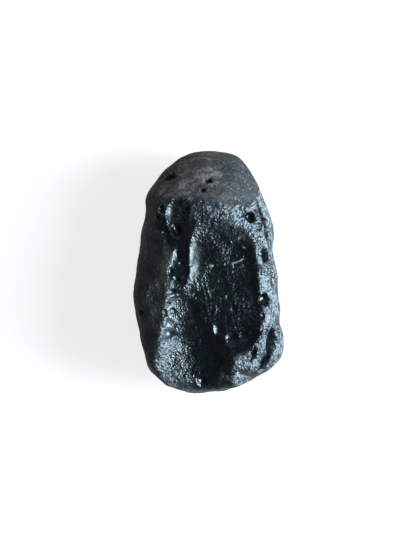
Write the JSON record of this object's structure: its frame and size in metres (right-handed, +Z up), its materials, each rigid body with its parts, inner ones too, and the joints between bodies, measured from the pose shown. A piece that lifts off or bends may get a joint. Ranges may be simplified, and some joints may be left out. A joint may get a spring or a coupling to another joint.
{
  "type": "tektite",
  "caption": "Elongated, flattened stone of black natural glass with a hollowed, sharp-crested face, bubble pits, gouges and a worn flat patch that it rests on.",
  "frame": {"origin": "on the surface that the stone lies on, under the middle of its outline", "axes": "+Y along the stone, towards its smoother domed end; +X across it, towards the brighter outer band; +Z up, out of the hollowed face"},
  "size_m": [0.031, 0.0498, 0.0186],
  "materials": {
    "tektite_glass": "satin"
  },
  "bodies": {
    "root": {"tektite": "tektite_glass"}
  },
  "joints": []
}
